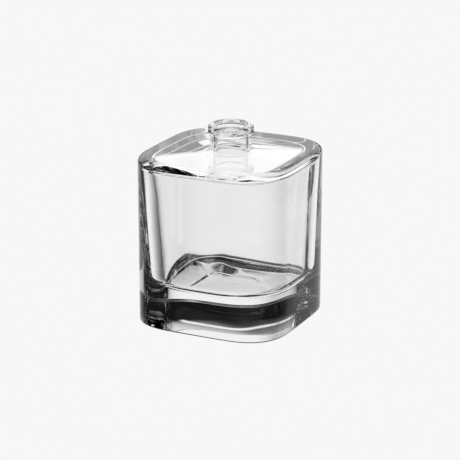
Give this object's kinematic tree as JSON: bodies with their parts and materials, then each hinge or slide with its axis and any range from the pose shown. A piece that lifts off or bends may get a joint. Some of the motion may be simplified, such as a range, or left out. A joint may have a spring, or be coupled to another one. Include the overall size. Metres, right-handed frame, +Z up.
{
  "type": "aftershave bottle",
  "caption": "Clear glass flacon with a rounded square body, a heavy solid base and a short round neck whose flange takes a crimped spray pump or stopper.",
  "frame": {"origin": "on the table, at the middle of the body's width and depth", "axes": "+Z up through the neck, -Y out of the front face, +X to the right when facing the front"},
  "size_m": [0.052, 0.052, 0.0641],
  "materials": {
    "glass": "clear, fire polished, colourless flint glass"
  },
  "bodies": {
    "root": {"glass_bottle": "glass"}
  },
  "joints": []
}
